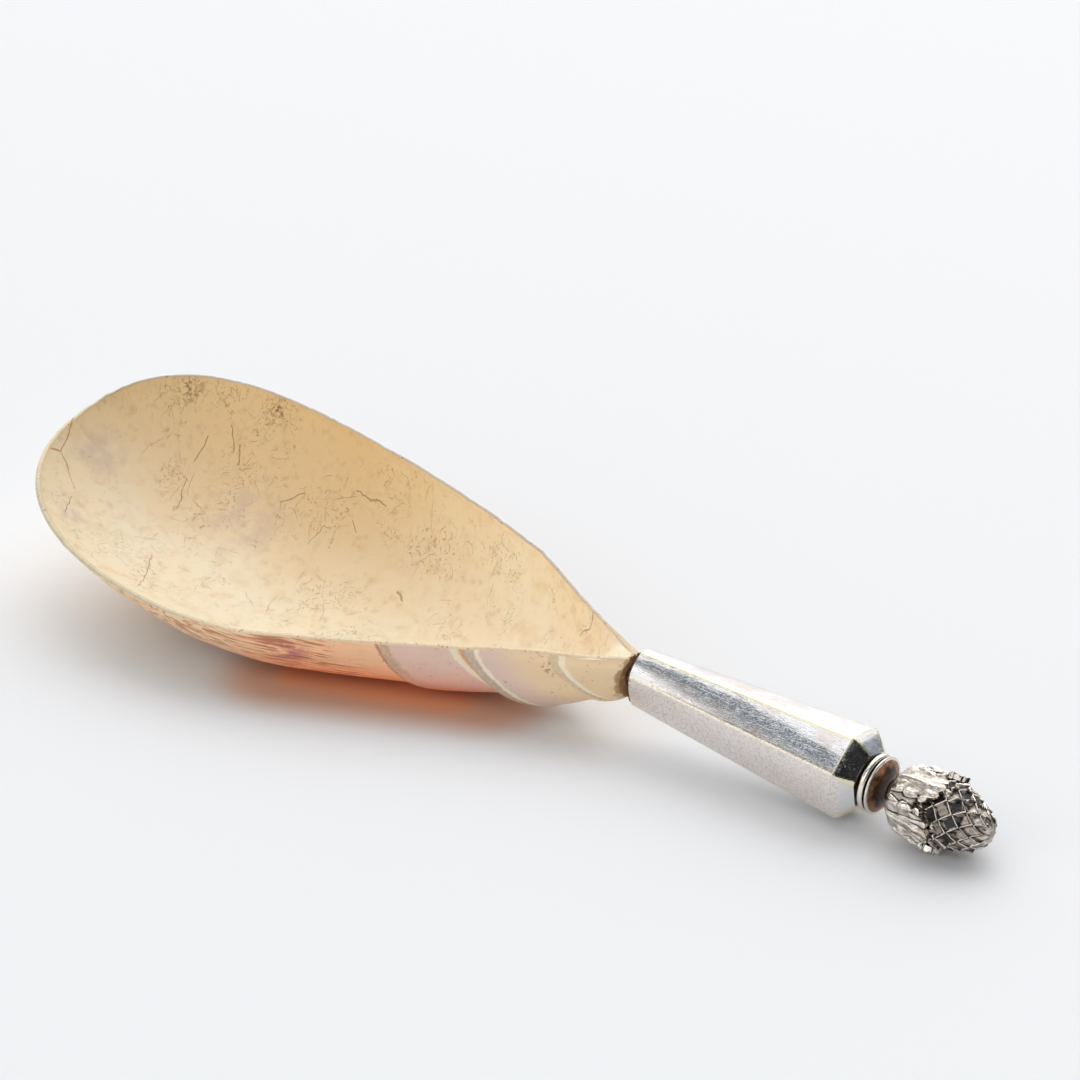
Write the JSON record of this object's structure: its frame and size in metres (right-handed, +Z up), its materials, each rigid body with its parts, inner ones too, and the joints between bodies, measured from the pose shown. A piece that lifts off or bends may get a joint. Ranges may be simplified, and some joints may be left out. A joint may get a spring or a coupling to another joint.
{
  "type": "serving spoon",
  "caption": "Serving spoon: a shell bowl cemented into a tapering hexagonal silver handle with a shoulder, a turned neck and a cast pine cone finial in a cup of leaves.",
  "frame": {"origin": "Middle of the bounding box's footprint, on the table that the spoon lies on", "axes": "+X along the spoon towards the finial, with the tip of the bowl at -X; +Y towards the higher long edge of the bowl; +Z up from the table, with the hollow of the bowl upwards"},
  "size_m": [0.2054, 0.0568, 0.0316],
  "materials": {
    "shell": "polished sea shell, cream and ochre, worn and scratched",
    "cement": "dark resin cement",
    "silver_sheet": "polished silver sheet, lightly scratched and tarnished",
    "silver_turned": "polished turned silver",
    "silver_aged": "silver with a brown patina",
    "silver_cast": "cast and chased silver, dark in its recesses"
  },
  "bodies": {
    "root": {"shell_bowl": "shell", "cement_filling": "cement", "handle_sleeve": "silver_sheet", "handle_shoulder": "silver_sheet", "neck_ring": "silver_turned", "flared_collar": "silver_aged", "finial_stud": "silver_aged", "leaf_cup": "silver_cast", "pine_cone": "silver_cast"}
  },
  "joints": []
}
